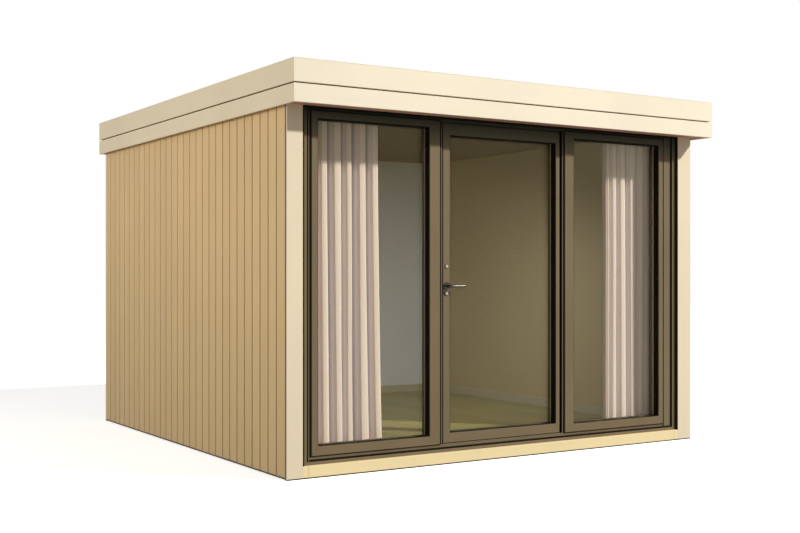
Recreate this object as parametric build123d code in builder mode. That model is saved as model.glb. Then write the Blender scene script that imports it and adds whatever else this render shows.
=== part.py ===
from build123d import *
from math import atan2, degrees, hypot
import os

# Garden office pod: a flat-roofed timber garden room with a glazed front.
# Millimetres, +Z up, +X along the glazed front, +Y from the front to the back.
# The origin is the middle of the roof's footprint, at ground level.

# ---- Overall sizes ----
BODY_WIDTH = 3370         # outside the cladding, left to right
BODY_DEPTH = 3380         # corner boards to the rear cladding
TOTAL_HEIGHT = 2500       # ground to the top of the roof trim
FRONT_OVERHANG = 175      # roof beyond the front corner boards
SIDE_OVERHANG = 41        # roof beyond the cladding at the sides and the back

# ---- Shell ----
BOARD_THICKNESS = 20      # cladding, corner boards and fascia boards
WALL_THICKNESS = 122      # insulated panel with its inner lining
SHEET_THICKNESS = 12      # floor covering, ceiling and soffit
FLOOR_HEIGHT = 100        # ground to the finished floor
GROUND_GAP = 5            # cladding held clear of the ground
EASED_EDGE = 2            # rounded arris of the planed boards
LEFT_BOARD_WIDTH = 108    # front corner boards
RIGHT_BOARD_WIDTH = 130
REAR_BOARD_WIDTH = 112
SILL_HEIGHT = 76          # front sill beam
SILL_GROOVE_INSET = 40    # fine joint near each end of the sill
SILL_GROOVE = 3

# ---- Roof ----
FASCIA_HEIGHT = 260       # lower edge of the fascia to the top of the trim
FASCIA_LOWER = 110        # height of the lower board
FASCIA_GROOVE = 9         # shadow gap between the two boards
SOFFIT_RECESS = 12        # soffit above the fascia's lower edge
CEILING_RISE = 65         # ceiling above the fascia's lower edge
ROOF_PANEL = 133          # insulated roof panel
MEMBRANE_THICKNESS = 6    # roof covering at the back
ROOF_FALL = 20            # rise of the roof covering from back to front
KERB_WIDTH = 30           # upstand behind the fascia
TRIM_THICKNESS = 4        # metal trim over the fascia and the kerb
BATTEN_WIDTH = 45
MITRE_GAP = 0.3           # hairline between mitred pieces
BATTEN_GAP = 1

# ---- Fixed frame of the door set, set back from the front of the corner boards ----
PACKER = 2                # between the frame and its opening
STRIP_SETBACK = 20        # outer strip
STRIP_WIDTH = 36
STRIP_HEIGHT = 20         # outer strip above the sill
BAND_SETBACK = 38         # inner band, where the side lights seat
BAND_RISE = 50            # top of the threshold above the sill
HEAD_DROP = 22            # frame head below the soffit
HEAD_HEIGHT = 40
LEFT_BAND = 38            # band in view between the outer strip and a side light
RIGHT_BAND = 85
BAND_LAP = 14             # side light flange over the band, at the jambs
COVER_THICKNESS = 8       # cover strip on the wide right-hand band
COVER_GAP = 8             # between that strip and the right side light
STOP_DEPTH = 14           # door stop lip, front to back
STOP_LAP = 13             # door edge behind the stop lip
MULLION_WIDTH = 40
EDGE_BEVEL = 1.5          # fine bevel round the metal faces
MITRE_LINE = 1            # width and depth of the line at a mitred corner

# ---- Leaves ----
LIGHT_SETBACK = 30        # face of the side lights
DOOR_SETBACK = 48         # face of the door
LEAF_DEPTH = 88
GLASS_SETBACK = 50        # glass behind the face of its leaf
GLASS_THICKNESS = 24
GLASS_LAP = 12            # glass held in the rebate beyond the daylight opening
GASKET = 5                # rubber lining of the reveal
SEAT_GAP = 2              # round the body of a side light
LIGHT_OUTER_STILE = 42    # face width next to the jamb
LIGHT_INNER_STILE = 79    # face width next to the door
LIGHT_BOTTOM_RAIL = 56
LIGHT_TOP_RAIL = 43

# ---- Door ----
DOOR_CENTRE = -34         # middle of the doorway, from the middle of the body
DOORWAY_WIDTH = 1012      # between the stop lips
LOCK_REVEAL = 21          # side light face to the stop lip's edge, lock side
HINGE_REVEAL = 21
LOCK_SHADOW = 15          # stop lip's edge to the door's face, lock side
HINGE_SHADOW = 15
LOCK_GAP = 10             # door edge to mullion, lock side
HINGE_GAP = 6
DOOR_FLOOR_GAP = 12       # door edge above the floor
DOOR_HEAD_GAP = 8         # door edge below the head, behind the stop
DOOR_FACE_RISE = 4        # door face above the threshold lip
DOOR_FACE_DROP = 10       # door face below the head lip
LEAF_REBATE = 12          # door edge set back behind its face
DOOR_LOCK_STILE = 54
DOOR_HINGE_STILE = 31
DOOR_BOTTOM_RAIL = 63
DOOR_TOP_RAIL = 75

# ---- Hinges ----
HINGE_INSET = 186         # hinge middle from the top and bottom of the door
HINGE_LENGTH = 100
HINGE_RADIUS = 8
PIN_RADIUS = 4
PIN_CLEARANCE = 0.1
HINGE_OFFSET = 9          # pin centre behind the inner face of the door
KNUCKLE_GAP = 1
PLATE_THICKNESS = 3
PLATE_REACH = 38          # from the pin centre
PLATE_START = 10

# ---- Lever handle and locks ----
LEVER_HEIGHT = 1155
LEVER_BACKSET = 27        # from the edge of the door's face
LEVER_RADIUS = 8
LEVER_PROJECTION = 52
LEVER_BEND = 16
LEVER_LENGTH = 112
LEVER_END_BEVEL = 2
SPINDLE_RADIUS = 4
SPINDLE_BORE = 10
ROSE_RADIUS = 25
ROSE_THICKNESS = 8
ROSE_BEVEL = 1.5
TURNING_GAP = 0.5         # lever neck in its rose
CYLINDER_DROP = 48        # key cylinder below the lever
UPPER_LOCK_RISE = 130     # upper lock above the lever
CYLINDER_RADIUS = 8.5
CYLINDER_TAIL = 5         # half width of the tail below the round plug
CYLINDER_TAIL_LENGTH = 16
ESCUTCHEON_RADIUS = 15
ESCUTCHEON_THICKNESS = 5
KEYWAY_WIDTH = 2
KEYWAY_HEIGHT = 9
KEYWAY_DEPTH = 10

# ---- Inside ----
SKIRTING_HEIGHT = 70
SKIRTING_THICKNESS = 15
SKIRTING_ROUND = 6
SKIRTING_GAP = 0.5
CURTAIN_GAP = 34          # behind the fixed frame
CURTAIN_DEPTH = 62
CURTAIN_FLOOR_GAP = 12
CURTAIN_WALL_GAP = 18
LEFT_CURTAIN_WIDTH = 610
RIGHT_CURTAIN_WIDTH = 525
HANGING_GAP = 0.3         # curtain heading below its track
TRACK_DEPTH = 24
TRACK_HEIGHT = 16
TRACK_WALL = 2
TRACK_SLOT = 8
TRACK_END_GAP = 5

# ---- Places worked out from those sizes: plan of the shell ----
half_body = BODY_WIDTH / 2
half_roof = half_body + SIDE_OVERHANG
roof_length = FRONT_OVERHANG + BODY_DEPTH + SIDE_OVERHANG
roof_front = -roof_length / 2
roof_back = roof_length / 2
front = roof_front + FRONT_OVERHANG
back = front + BODY_DEPTH
shell_half = half_body - BOARD_THICKNESS
shell_front = front + BOARD_THICKNESS
shell_back = back - BOARD_THICKNESS
room_half = shell_half - WALL_THICKNESS
room_back = shell_back - WALL_THICKNESS
eaves_half = half_roof - BOARD_THICKNESS
eaves_front = roof_front + BOARD_THICKNESS
eaves_back = roof_back - BOARD_THICKNESS
left_opening = -half_body + LEFT_BOARD_WIDTH
right_opening = half_body - RIGHT_BOARD_WIDTH
rear_opening = half_body - REAR_BOARD_WIDTH

# ---- Heights of the shell ----
panel_top = FLOOR_HEIGHT - SHEET_THICKNESS
fascia_foot = TOTAL_HEIGHT - FASCIA_HEIGHT
fascia_top = TOTAL_HEIGHT - TRIM_THICKNESS
soffit_foot = fascia_foot + SOFFIT_RECESS
soffit_top = soffit_foot + SHEET_THICKNESS
ceiling_foot = fascia_foot + CEILING_RISE
roof_foot = ceiling_foot + SHEET_THICKNESS
roof_top = roof_foot + ROOF_PANEL

# ---- Depths of the door set ----
strip_front = front + STRIP_SETBACK
band_front = front + BAND_SETBACK
stop_back = band_front + STOP_DEPTH
light_face = front + LIGHT_SETBACK
door_face = front + DOOR_SETBACK
door_back = door_face + LEAF_DEPTH
frame_back = door_back

# ---- Heights of the door set ----
strip_top = SILL_HEIGHT + STRIP_HEIGHT
band_top = SILL_HEIGHT + BAND_RISE
head_bottom = soffit_foot - HEAD_DROP
head_top = head_bottom + HEAD_HEIGHT
light_heights = (band_top + SEAT_GAP, head_bottom - SEAT_GAP)
light_daylight = (light_heights[0] + LIGHT_BOTTOM_RAIL, light_heights[1] - LIGHT_TOP_RAIL)
door_heights = (band_top + DOOR_FACE_RISE, head_bottom - DOOR_FACE_DROP)
door_edges_z = (FLOOR_HEIGHT + DOOR_FLOOR_GAP, head_bottom + STOP_LAP)
door_head_cut = door_edges_z[1] + DOOR_HEAD_GAP
door_daylight_z = (door_heights[0] + DOOR_BOTTOM_RAIL, door_heights[1] - DOOR_TOP_RAIL)

# ---- Widths of the door set ----
left_frame_edge = left_opening + PACKER
right_frame_edge = right_opening - PACKER
left_strip_edge = left_frame_edge + STRIP_WIDTH
right_strip_edge = right_frame_edge - STRIP_WIDTH
stop_edges = (DOOR_CENTRE - DOORWAY_WIDTH / 2, DOOR_CENTRE + DOORWAY_WIDTH / 2)
door_edges = (stop_edges[0] - STOP_LAP, stop_edges[1] + STOP_LAP)
doorway = (door_edges[0] - LOCK_GAP, door_edges[1] + HINGE_GAP)
left_mullion = (doorway[0] - MULLION_WIDTH, doorway[0])
right_mullion = (doorway[1], doorway[1] + MULLION_WIDTH)
door_sides = (stop_edges[0] + LOCK_SHADOW, stop_edges[1] - HINGE_SHADOW)
door_daylight_x = (door_sides[0] + DOOR_LOCK_STILE, door_sides[1] - DOOR_HINGE_STILE)
left_sides = (left_strip_edge + LEFT_BAND, stop_edges[0] - LOCK_REVEAL)
right_sides = (stop_edges[1] + HINGE_REVEAL, right_strip_edge - RIGHT_BAND)
left_daylight = (left_sides[0] + LIGHT_OUTER_STILE, left_sides[1] - LIGHT_INNER_STILE)
right_daylight = (right_sides[0] + LIGHT_INNER_STILE, right_sides[1] - LIGHT_OUTER_STILE)
left_band_edge = left_sides[0] + BAND_LAP
right_band_edge = right_sides[1] - BAND_LAP

os.makedirs("parts", exist_ok=True)


# ---- Ways of making the pieces ----
def save(part, label):
    part.label = label
    export_step(part, f"parts/{label}.step")


def middle(span):
    return (span[0] + span[1]) / 2


def length(span):
    return span[1] - span[0]


def grown(span, by):
    return (span[0] - by, span[1] + by)


def block(xs, ys, zs, mode=Mode.ADD):
    """A board or panel in the current part, from its x, y and z spans."""
    with BuildSketch(Plane.XY.offset(zs[0])) as plan:
        with Locations((middle(xs), middle(ys))):
            Rectangle(length(xs), length(ys))
    extrude(plan.sketch, amount=length(zs), mode=mode)


def plan_profile(points, zs):
    """An upright member in the current part, from the outline of its plan."""
    with BuildSketch(Plane.XY.offset(zs[0])) as plan:
        with BuildLine():
            Polyline(*points, close=True)
        make_face()
    extrude(plan.sketch, amount=length(zs))


def side_profile(points, xs):
    """A level member along X in the current part, from its (y, z) outline."""
    with BuildSketch(Plane.YZ.offset(xs[0])) as section:
        with BuildLine():
            Polyline(*points, close=True)
        make_face()
    extrude(section.sketch, amount=length(xs))


def ring(outer_x, outer_z, inner_x, inner_z, ys):
    """An upright rectangular frame in the current part, between two y positions."""
    with BuildSketch(Plane.XZ.offset(-ys[0])) as elevation:
        with Locations((middle(outer_x), middle(outer_z))):
            Rectangle(length(outer_x), length(outer_z))
        with Locations((middle(inner_x), middle(inner_z))):
            Rectangle(length(inner_x), length(inner_z), mode=Mode.SUBTRACT)
    extrude(elevation.sketch, amount=-length(ys))


def disc(x, y, z, radius, depth, mode=Mode.ADD):
    """A round boss or bore along Y in the current part; a positive depth goes inwards."""
    with BuildSketch(Plane.XZ.offset(-y)) as face:
        with Locations((x, z)):
            Circle(radius)
    extrude(face.sketch, amount=-depth, mode=mode)


def barrel(x, y, z, radius, height, mode=Mode.ADD):
    """A round bar or bore along Z in the current part."""
    with BuildSketch(Plane.XY.offset(z)) as face:
        with Locations((x, y)):
            Circle(radius)
    extrude(face.sketch, amount=height, mode=mode)


def mitred(side, width, zs):
    """A board along one side of the roof in the current part, mitred at both corners."""
    x = half_roof
    inner_x = half_roof - width
    inner_front = roof_front + width
    inner_back = roof_back - width
    outlines = {
        "front": [(MITRE_GAP - x, roof_front), (x - MITRE_GAP, roof_front),
                  (inner_x - MITRE_GAP, inner_front), (MITRE_GAP - inner_x, inner_front)],
        "rear": [(MITRE_GAP - x, roof_back), (x - MITRE_GAP, roof_back),
                 (inner_x - MITRE_GAP, inner_back), (MITRE_GAP - inner_x, inner_back)],
        "left": [(-x, roof_front), (-inner_x, inner_front), (-inner_x, inner_back), (-x, roof_back)],
        "right": [(x, roof_front), (inner_x, inner_front), (inner_x, inner_back), (x, roof_back)],
    }
    plan_profile(outlines[side], zs)


def slab(label, xs, ys, zs):
    """One plain panel as a node of its own."""
    with BuildPart() as panel:
        block(xs, ys, zs)
    save(panel.part, label)


def eased_boards(label, spans, ys, zs):
    """Upright planed boards with rounded long edges, as one node."""
    with BuildPart() as boards:
        for xs in spans:
            block(xs, ys, zs)
        fillet(boards.edges().filter_by(Axis.Z), radius=EASED_EDGE)
    save(boards.part, label)


# ---- Floor and front sill ----
slab("floor_panel", (-shell_half, shell_half), (frame_back, shell_back), (0, panel_top))
slab("floor_covering", (-room_half, room_half), (frame_back, room_back), (panel_top, FLOOR_HEIGHT))

sill_span = (left_opening, right_opening)
with BuildPart() as front_sill:
    block(sill_span, (front, frame_back), (0, SILL_HEIGHT))
    fillet(front_sill.edges().filter_by(Axis.X).sort_by(Axis.Y)[:2], radius=EASED_EDGE)
    for groove_x in (sill_span[0] + SILL_GROOVE_INSET, sill_span[1] - SILL_GROOVE_INSET):
        groove = (groove_x - SILL_GROOVE / 2, groove_x + SILL_GROOVE / 2)
        block(groove, (front, front + SILL_GROOVE), (0, SILL_HEIGHT), mode=Mode.SUBTRACT)
save(front_sill.part, "front_sill")

# ---- Walls ----
wall_heights = (panel_top, roof_foot)
slab("left_wall", (-shell_half, -room_half), (frame_back, room_back), wall_heights)
slab("right_wall", (room_half, shell_half), (frame_back, room_back), wall_heights)
slab("rear_wall", (-shell_half, shell_half), (room_back, shell_back), wall_heights)

# ---- Cladding: one sheet a side, whose separate boards belong to the finish ----
cladding_heights = (GROUND_GAP, roof_foot)
with BuildPart() as side_cladding:
    block((-half_body, -shell_half), (shell_front, shell_back), cladding_heights)
    block((shell_half, half_body), (shell_front, shell_back), cladding_heights)
save(side_cladding.part, "side_cladding")
slab("rear_cladding", (-rear_opening, rear_opening), (shell_back, back), cladding_heights)

# ---- Corner boards, and the posts behind the front ones ----
board_heights = (0, soffit_foot)
eased_boards("front_corner_boards", ((-half_body, left_opening), (right_opening, half_body)),
             (front, shell_front), board_heights)
eased_boards("rear_corner_boards", ((-half_body, -rear_opening), (rear_opening, half_body)),
             (shell_back, back), board_heights)

with BuildPart() as front_posts:
    block((-shell_half, left_opening), (shell_front, frame_back), (0, roof_foot))
    block((right_opening, shell_half), (shell_front, frame_back), (0, roof_foot))
save(front_posts.part, "front_posts")
slab("front_lintel", sill_span, (shell_front, frame_back), (head_top, roof_foot))

# ---- Roof: panel, covering and trim ----
slab("roof_panel", (-eaves_half, eaves_half), (eaves_front, eaves_back), (roof_foot, roof_top))
slab("ceiling", (-room_half, room_half), (frame_back, room_back), (ceiling_foot, roof_foot))

eaves_x = (-eaves_half, eaves_half)
well_x = grown(eaves_x, -KERB_WIDTH)
well_y = (eaves_front + KERB_WIDTH, eaves_back - KERB_WIDTH)
with BuildPart() as roof_membrane:
    membrane_back = roof_top + MEMBRANE_THICKNESS
    side_profile(
        [(well_y[0], roof_top), (well_y[1], roof_top), (well_y[1], membrane_back),
         (well_y[0], membrane_back + ROOF_FALL)],
        well_x,
    )
save(roof_membrane.part, "roof_membrane")

with BuildPart() as roof_trim:
    for side in ("front", "rear", "left", "right"):
        mitred(side, BOARD_THICKNESS + KERB_WIDTH, (fascia_top, TOTAL_HEIGHT))
save(roof_trim.part, "roof_trim")

# ---- Fascia: two planed boards a side with a shadow gap between them ----
lower_board = (fascia_foot, fascia_foot + FASCIA_LOWER)
upper_board = (lower_board[1] + FASCIA_GROOVE, fascia_top)
for side, along in (("front", Axis.X), ("rear", Axis.X), ("left", Axis.Y), ("right", Axis.Y)):
    with BuildPart() as fascia:
        mitred(side, BOARD_THICKNESS, lower_board)
        mitred(side, BOARD_THICKNESS, upper_board)
        fillet(fascia.edges().filter_by(along), radius=EASED_EDGE)
    save(fascia.part, f"{side}_fascia")

# ---- Eaves: front soffit, the battens behind the fascia, and the kerb round the roof ----
slab("front_soffit", eaves_x, (eaves_front, strip_front), (soffit_foot, soffit_top))
kerb_heights = (roof_top, fascia_top)
with BuildPart() as roof_battens:
    block(eaves_x, (eaves_front, eaves_front + BATTEN_WIDTH), (soffit_top, roof_foot))
    block(eaves_x, (shell_front - BATTEN_WIDTH, shell_front), (soffit_top, roof_foot))
    for side_x in ((-eaves_half, -half_body), (half_body, eaves_half)):
        block(side_x, (shell_front + BATTEN_GAP, eaves_back), (soffit_foot, roof_foot))
    rear_x = (-half_body + BATTEN_GAP, half_body - BATTEN_GAP)
    block(rear_x, (back, eaves_back), (soffit_foot, roof_foot))
    block(eaves_x, (eaves_front, well_y[0]), kerb_heights)
    block(eaves_x, (well_y[1], eaves_back), kerb_heights)
    for side_x in ((eaves_x[0], well_x[0]), (well_x[1], eaves_x[1])):
        block(side_x, grown(well_y, -BATTEN_GAP), kerb_heights)
save(roof_battens.part, "roof_battens")

# ---- Fixed frame: jambs with an outer strip and an inner band ----
jamb_heights = (SILL_HEIGHT, head_top)
for label, outer, step, inner in (
    ("frame_left_jamb", left_frame_edge, left_strip_edge, left_band_edge),
    ("frame_right_jamb", right_frame_edge, right_strip_edge, right_band_edge),
):
    with BuildPart() as jamb:
        plan_profile(
            [(outer, strip_front), (step, strip_front), (step, band_front), (inner, band_front),
             (inner, frame_back), (outer, frame_back)],
            jamb_heights,
        )
        band = (min(step, inner), max(step, inner))
        band_depth = (band_front, frame_back)
        block(band, band_depth, (SILL_HEIGHT, band_top), mode=Mode.SUBTRACT)
        block(band, band_depth, (head_bottom, head_top), mode=Mode.SUBTRACT)
        chamfer(jamb.faces().sort_by(Axis.Y)[0].edges().filter_by(Axis.Z), length=EDGE_BEVEL)
    save(jamb.part, label)

between_jambs = (left_strip_edge, right_strip_edge)
doorway_depth = (stop_back, frame_back)
with BuildPart() as threshold:
    side_profile(
        [(strip_front, SILL_HEIGHT), (frame_back, SILL_HEIGHT), (frame_back, band_top),
         (band_front, band_top), (band_front, strip_top), (strip_front, strip_top)],
        between_jambs,
    )
    chamfer(threshold.edges().filter_by(Axis.X).group_by(Axis.Y)[0], length=EDGE_BEVEL)
    block(doorway, doorway_depth, (FLOOR_HEIGHT, band_top), mode=Mode.SUBTRACT)
save(threshold.part, "frame_threshold")

with BuildPart() as head:
    side_profile(
        [(strip_front, head_top), (frame_back, head_top), (frame_back, head_bottom),
         (band_front, head_bottom), (band_front, soffit_foot), (strip_front, soffit_foot)],
        between_jambs,
    )
    block(doorway, doorway_depth, (head_bottom, door_head_cut), mode=Mode.SUBTRACT)
save(head.part, "frame_head")

# ---- Mullions beside the door, each with a stop lip across the doorway's edge ----
mullion_heights = (band_top, head_bottom)
with BuildPart() as mullions:
    for post, lip_edge in ((left_mullion, stop_edges[0]), (right_mullion, stop_edges[1])):
        outer = post[0] if lip_edge > post[1] else post[1]
        inner = post[1] if lip_edge > post[1] else post[0]
        plan_profile(
            [(outer, band_front), (lip_edge, band_front), (lip_edge, stop_back),
             (inner, stop_back), (inner, frame_back), (outer, frame_back)],
            mullion_heights,
        )
save(mullions.part, "mullions")

# ---- Cover strip over the wide band at the right ----
with BuildPart() as cover_strip:
    cover_x = (right_sides[1] + COVER_GAP, right_strip_edge)
    block(cover_x, (band_front - COVER_THICKNESS, band_front), (strip_top, soffit_foot))
    chamfer(cover_strip.faces().sort_by(Axis.Y)[0].edges().filter_by(Axis.Z), length=EDGE_BEVEL)
save(cover_strip.part, "frame_cover_strip")


# ---- Glazed leaves ----
def mitre_lines(outer_x, outer_z, inner_x, inner_z, face):
    """Fine lines on a leaf's face where its stiles and rails meet."""
    with BuildSketch(Plane.XZ.offset(-face)) as lines:
        for x_end in (0, 1):
            for z_end in (0, 1):
                run = inner_x[x_end] - outer_x[x_end]
                rise = inner_z[z_end] - outer_z[z_end]
                centre = (outer_x[x_end] + run / 2, outer_z[z_end] + rise / 2)
                with Locations(centre):
                    Rectangle(hypot(run, rise), MITRE_LINE, rotation=degrees(atan2(rise, run)))
    extrude(lines.sketch, amount=-MITRE_LINE, mode=Mode.SUBTRACT)


def bevel_face(leaf):
    """Bevel round the foremost face of a leaf."""
    chamfer(leaf.faces().sort_by(Axis.Y)[0].edges(), length=EDGE_BEVEL)


def glass_units(label, daylights, daylight_z, face):
    """Sealed panes, each held in its rebate all round, as one node."""
    depth = (face + GLASS_SETBACK, face + GLASS_SETBACK + GLASS_THICKNESS)
    with BuildPart() as panes:
        for daylight_x in daylights:
            block(grown(daylight_x, GLASS_LAP), depth, grown(daylight_z, GLASS_LAP))
    save(panes.part, label)


def glazing_trim(name, daylights, daylight_z, face):
    """Rubber reveal linings in front of the glass, and beads behind it."""
    glass_front = face + GLASS_SETBACK
    glass_back = glass_front + GLASS_THICKNESS
    rebate_z = grown(daylight_z, GLASS_LAP)
    clear_z = grown(daylight_z, -GASKET)
    with BuildPart() as gasket:
        for daylight_x in daylights:
            clear_x = grown(daylight_x, -GASKET)
            ring(daylight_x, daylight_z, clear_x, clear_z, (face + GASKET, glass_front))
    save(gasket.part, f"{name}_gasket")
    with BuildPart() as beads:
        for daylight_x in daylights:
            clear_x = grown(daylight_x, -GASKET)
            rebate_x = grown(daylight_x, GLASS_LAP)
            ring(rebate_x, rebate_z, clear_x, clear_z, (glass_back, face + LEAF_DEPTH))
    save(beads.part, f"{name}_beads")


body_heights = (band_top, head_bottom)
left_body = (left_band_edge + SEAT_GAP, left_mullion[0] - SEAT_GAP)
right_body = (right_mullion[1] + SEAT_GAP, right_band_edge - SEAT_GAP)
light_glass_front = light_face + GLASS_SETBACK
light_back = light_face + LEAF_DEPTH
for name, sides, body, daylight in (
    ("left_light", left_sides, left_body, left_daylight),
    ("right_light", right_sides, right_body, right_daylight),
):
    rebate_x = grown(daylight, GLASS_LAP)
    rebate_z = grown(light_daylight, GLASS_LAP)
    with BuildPart() as light:
        ring(sides, light_heights, daylight, light_daylight, (light_face, band_front))
        ring(body, body_heights, daylight, light_daylight, (band_front, light_glass_front))
        ring(body, body_heights, rebate_x, rebate_z, (light_glass_front, light_back))
        bevel_face(light)
        mitre_lines(sides, light_heights, daylight, light_daylight, light_face)
    save(light.part, f"{name}_frame")
glass_units("side_light_glass", (left_daylight, right_daylight), light_daylight, light_face)
glazing_trim("side_light", (left_daylight, right_daylight), light_daylight, light_face)

# ---- Door leaf, bored for the lever and the two locks ----
lever_x = door_sides[0] + LEVER_BACKSET
cylinder_height = LEVER_HEIGHT - CYLINDER_DROP
upper_lock_height = LEVER_HEIGHT + UPPER_LOCK_RISE
door_glass_front = door_face + GLASS_SETBACK


def cylinder_body(height, y_from, depth, mode=Mode.ADD):
    """A profile cylinder along Y: a round plug with a narrower tail below it."""
    with BuildSketch(Plane.XZ.offset(-y_from)) as profile:
        with Locations((lever_x, height)):
            Circle(CYLINDER_RADIUS)
        with Locations((lever_x, height - CYLINDER_TAIL_LENGTH / 2)):
            Rectangle(2 * CYLINDER_TAIL, CYLINDER_TAIL_LENGTH)
        with Locations((lever_x, height - CYLINDER_TAIL_LENGTH)):
            Circle(CYLINDER_TAIL)
    extrude(profile.sketch, amount=-depth, mode=mode)


with BuildPart() as door_frame:
    door_rebate_x = grown(door_daylight_x, GLASS_LAP)
    door_rebate_z = grown(door_daylight_z, GLASS_LAP)
    step_y = door_face + LEAF_REBATE
    ring(door_sides, door_heights, door_daylight_x, door_daylight_z, (door_face, step_y))
    ring(door_edges, door_edges_z, door_daylight_x, door_daylight_z, (step_y, door_glass_front))
    ring(door_edges, door_edges_z, door_rebate_x, door_rebate_z, (door_glass_front, door_back))
    bevel_face(door_frame)
    mitre_lines(door_sides, door_heights, door_daylight_x, door_daylight_z, door_face)
    disc(lever_x, door_face, LEVER_HEIGHT, SPINDLE_BORE, LEAF_DEPTH, mode=Mode.SUBTRACT)
    cylinder_body(cylinder_height, door_face, LEAF_DEPTH, mode=Mode.SUBTRACT)
    disc(lever_x, door_face, upper_lock_height, CYLINDER_RADIUS, LEAF_DEPTH, mode=Mode.SUBTRACT)
save(door_frame.part, "door_frame")
glass_units("door_glass", (door_daylight_x,), door_daylight_z, door_face)
glazing_trim("door", (door_daylight_x,), door_daylight_z, door_face)

# ---- Hinges: a frame half with the pin, and a door half that turns on it ----
hinge_x = (door_edges[1] + doorway[1]) / 2
hinge_y = door_back + HINGE_OFFSET
hinge_feet = [
    height - HINGE_LENGTH / 2
    for height in (door_edges_z[0] + HINGE_INSET, middle(door_edges_z), door_edges_z[1] - HINGE_INSET)
]
knuckle = HINGE_LENGTH / 3
plate_depth = (door_back, door_back + PLATE_THICKNESS)

with BuildPart() as frame_hinges:
    for foot in hinge_feet:
        plate_x = (hinge_x + PLATE_START, hinge_x + PLATE_REACH)
        block(plate_x, plate_depth, (foot, foot + HINGE_LENGTH))
        for low in (foot, foot + 2 * knuckle):
            block((hinge_x, hinge_x + PLATE_START), plate_depth, (low, low + knuckle))
            barrel(hinge_x, hinge_y, low, HINGE_RADIUS, knuckle)
        barrel(hinge_x, hinge_y, foot, PIN_RADIUS, HINGE_LENGTH)
save(frame_hinges.part, "frame_hinges")

with BuildPart() as door_hinges:
    for foot in hinge_feet:
        plate_x = (hinge_x - PLATE_REACH, hinge_x - PLATE_START)
        block(plate_x, plate_depth, (foot, foot + HINGE_LENGTH))
        low = foot + knuckle + KNUCKLE_GAP
        tall = knuckle - 2 * KNUCKLE_GAP
        block((hinge_x - PLATE_START, hinge_x), plate_depth, (low, low + tall))
        barrel(hinge_x, hinge_y, low, HINGE_RADIUS, tall)
        barrel(hinge_x, hinge_y, low, PIN_RADIUS + PIN_CLEARANCE, tall, mode=Mode.SUBTRACT)
save(door_hinges.part, "door_hinges")

# ---- Roses, escutcheons and lock cylinders, on both faces of the door ----
with BuildPart() as door_furniture:
    for face, out in ((door_face, -1), (door_back, 1)):
        disc(lever_x, face, LEVER_HEIGHT, ROSE_RADIUS, out * ROSE_THICKNESS)
        for height in (cylinder_height, upper_lock_height):
            disc(lever_x, face, height, ESCUTCHEON_RADIUS, out * ESCUTCHEON_THICKNESS)
    rims = [
        edge for edge in door_furniture.edges().filter_by(GeomType.CIRCLE)
        if edge.center().Y < door_face - 1 or edge.center().Y > door_back + 1
    ]
    chamfer(rims, length=ROSE_BEVEL)
    for face, out in ((door_face, -1), (door_back, 1)):
        neck_bore = LEVER_RADIUS + TURNING_GAP
        disc(lever_x, face, LEVER_HEIGHT, neck_bore, out * ROSE_THICKNESS, mode=Mode.SUBTRACT)
    cylinder_body(cylinder_height, door_face, LEAF_DEPTH)
    disc(lever_x, door_face, upper_lock_height, CYLINDER_RADIUS, LEAF_DEPTH)
    for face, out in ((door_face, -1), (door_back, 1)):
        for height in (cylinder_height, upper_lock_height):
            mouth = face + out * ESCUTCHEON_THICKNESS
            keyway_y = (min(mouth, mouth - out * KEYWAY_DEPTH), max(mouth, mouth - out * KEYWAY_DEPTH))
            keyway_x = (lever_x - KEYWAY_WIDTH / 2, lever_x + KEYWAY_WIDTH / 2)
            keyway_z = (height - KEYWAY_HEIGHT / 2, height + KEYWAY_HEIGHT / 2)
            block(keyway_x, keyway_y, keyway_z, mode=Mode.SUBTRACT)
save(door_furniture.part, "door_furniture")

# ---- Lever: an outer and an inner grip on one spindle ----
with BuildPart() as door_lever:
    for face, out in ((door_face, -1), (door_back, 1)):
        grip_y = face + out * LEVER_PROJECTION
        bend_y = grip_y - out * LEVER_BEND
        with BuildLine() as route:
            neck = Line((lever_x, face, LEVER_HEIGHT), (lever_x, bend_y, LEVER_HEIGHT))
            bend_end = (lever_x + LEVER_BEND, grip_y, LEVER_HEIGHT)
            bend = TangentArc(neck @ 1, bend_end, tangent=neck % 1)
            Line(bend @ 1, (lever_x + LEVER_LENGTH, grip_y, LEVER_HEIGHT))
        with BuildSketch(Plane(origin=(lever_x, face, LEVER_HEIGHT), z_dir=(0, out, 0))):
            Circle(LEVER_RADIUS)
        sweep(path=route.wires()[0])
    chamfer(door_lever.faces().filter_by(Axis.X).edges(), length=LEVER_END_BEVEL)
    disc(lever_x, door_face, LEVER_HEIGHT, SPINDLE_RADIUS, LEAF_DEPTH)
save(door_lever.part, "door_lever")

# ---- Inside: skirting ----
skirting_z = (FLOOR_HEIGHT, FLOOR_HEIGHT + SKIRTING_HEIGHT)
skirting_x = room_half - SKIRTING_THICKNESS
with BuildPart() as skirting:
    block((-room_half, -skirting_x), (frame_back, room_back), skirting_z)
    block((skirting_x, room_half), (frame_back, room_back), skirting_z)
    rear_skirting = (SKIRTING_GAP - skirting_x, skirting_x - SKIRTING_GAP)
    block(rear_skirting, (room_back - SKIRTING_THICKNESS, room_back), skirting_z)
    top_sides = skirting.edges().filter_by(Axis.Y).group_by(Axis.Z)[-1].sort_by(Axis.X)
    top_rear = skirting.edges().filter_by(Axis.X).group_by(Axis.Z)[-1]
    room_edges = top_sides[1:3] + top_rear.filter_by_position(
        Axis.Y, room_back - SKIRTING_THICKNESS - 1, room_back - SKIRTING_THICKNESS + 1)
    fillet(room_edges.filter_by(lambda edge: edge.length > 2 * SKIRTING_THICKNESS), radius=SKIRTING_ROUND)
save(skirting.part, "skirting")

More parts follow.
